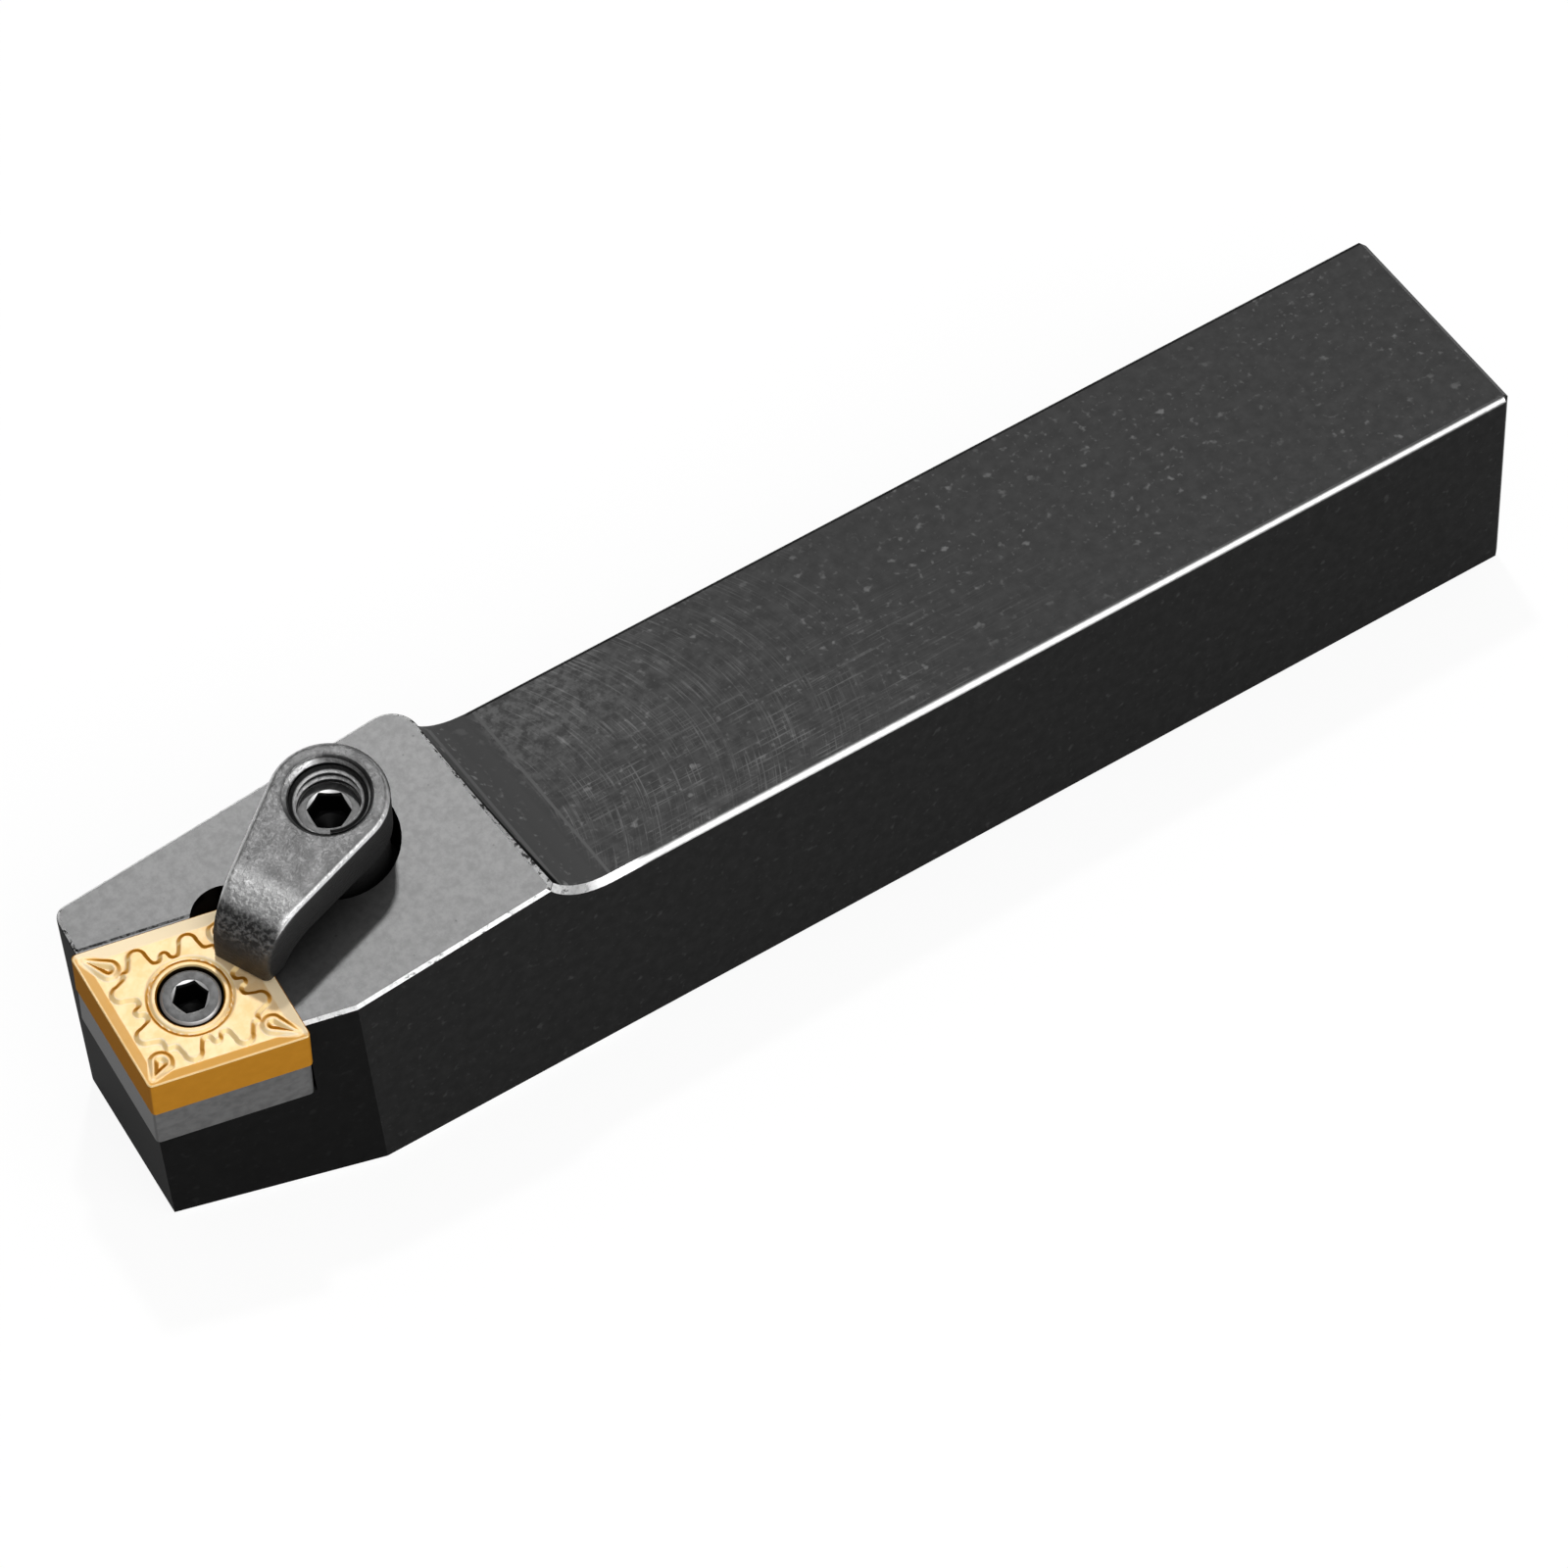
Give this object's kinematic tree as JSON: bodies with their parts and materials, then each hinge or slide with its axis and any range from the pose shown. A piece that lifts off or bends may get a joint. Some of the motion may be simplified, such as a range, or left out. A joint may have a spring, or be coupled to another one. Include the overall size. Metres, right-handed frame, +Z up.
{
  "type": "indexable turning tool holder",
  "caption": "Right-hand square-shank turning tool holder with a tilted head, a coated rhombic insert on a shim, held by a lock pin and a bridge clamp with its screw.",
  "frame": {"origin": "on the bottom face of the shank, midway along the holder from its cutting corner to its back end, and midway across the shank", "axes": "+X runs along the shank from the cutting end to the back end, -Y is the side that the main cutting edge faces, +Z is up, square to the bottom face"},
  "size_m": [0.125, 0.0202, 0.0308],
  "materials": {
    "holder_body": "blackened steel, head ground to a satin grey",
    "shim": "ground cemented carbide",
    "insert": "satin gold hard coating on cemented carbide",
    "lock_pin": "blackened steel",
    "clamp": "forged steel, tumbled and blackened",
    "clamp_screw": "blackened steel"
  },
  "bodies": {
    "holder": {"holder_body": "holder_body", "shim": "shim", "insert": "insert", "lock_pin": "lock_pin"},
    "screw": {"clamp_screw": "clamp_screw"},
    "clamp": {"clamp": "clamp"}
  },
  "joints": [
    {"name": "clamp_screw_turn", "type": "hinge", "parent": "holder", "child": "screw", "pos_m": [-0.03962, 0.00296, 0.02381], "axis": [-0.1035, -0.1384, 0.9849], "range_deg": [0, 720]},
    {"name": "clamp_lift", "type": "slide", "parent": "holder", "child": "clamp", "axis": [-0.1035, -0.1384, 0.9849], "range_m": [0, 0.004]}
  ],
  "couplings": [
    {"joint": "clamp_screw_turn", "follows": "clamp_lift", "rad_per_m": 3141.6}
  ]
}
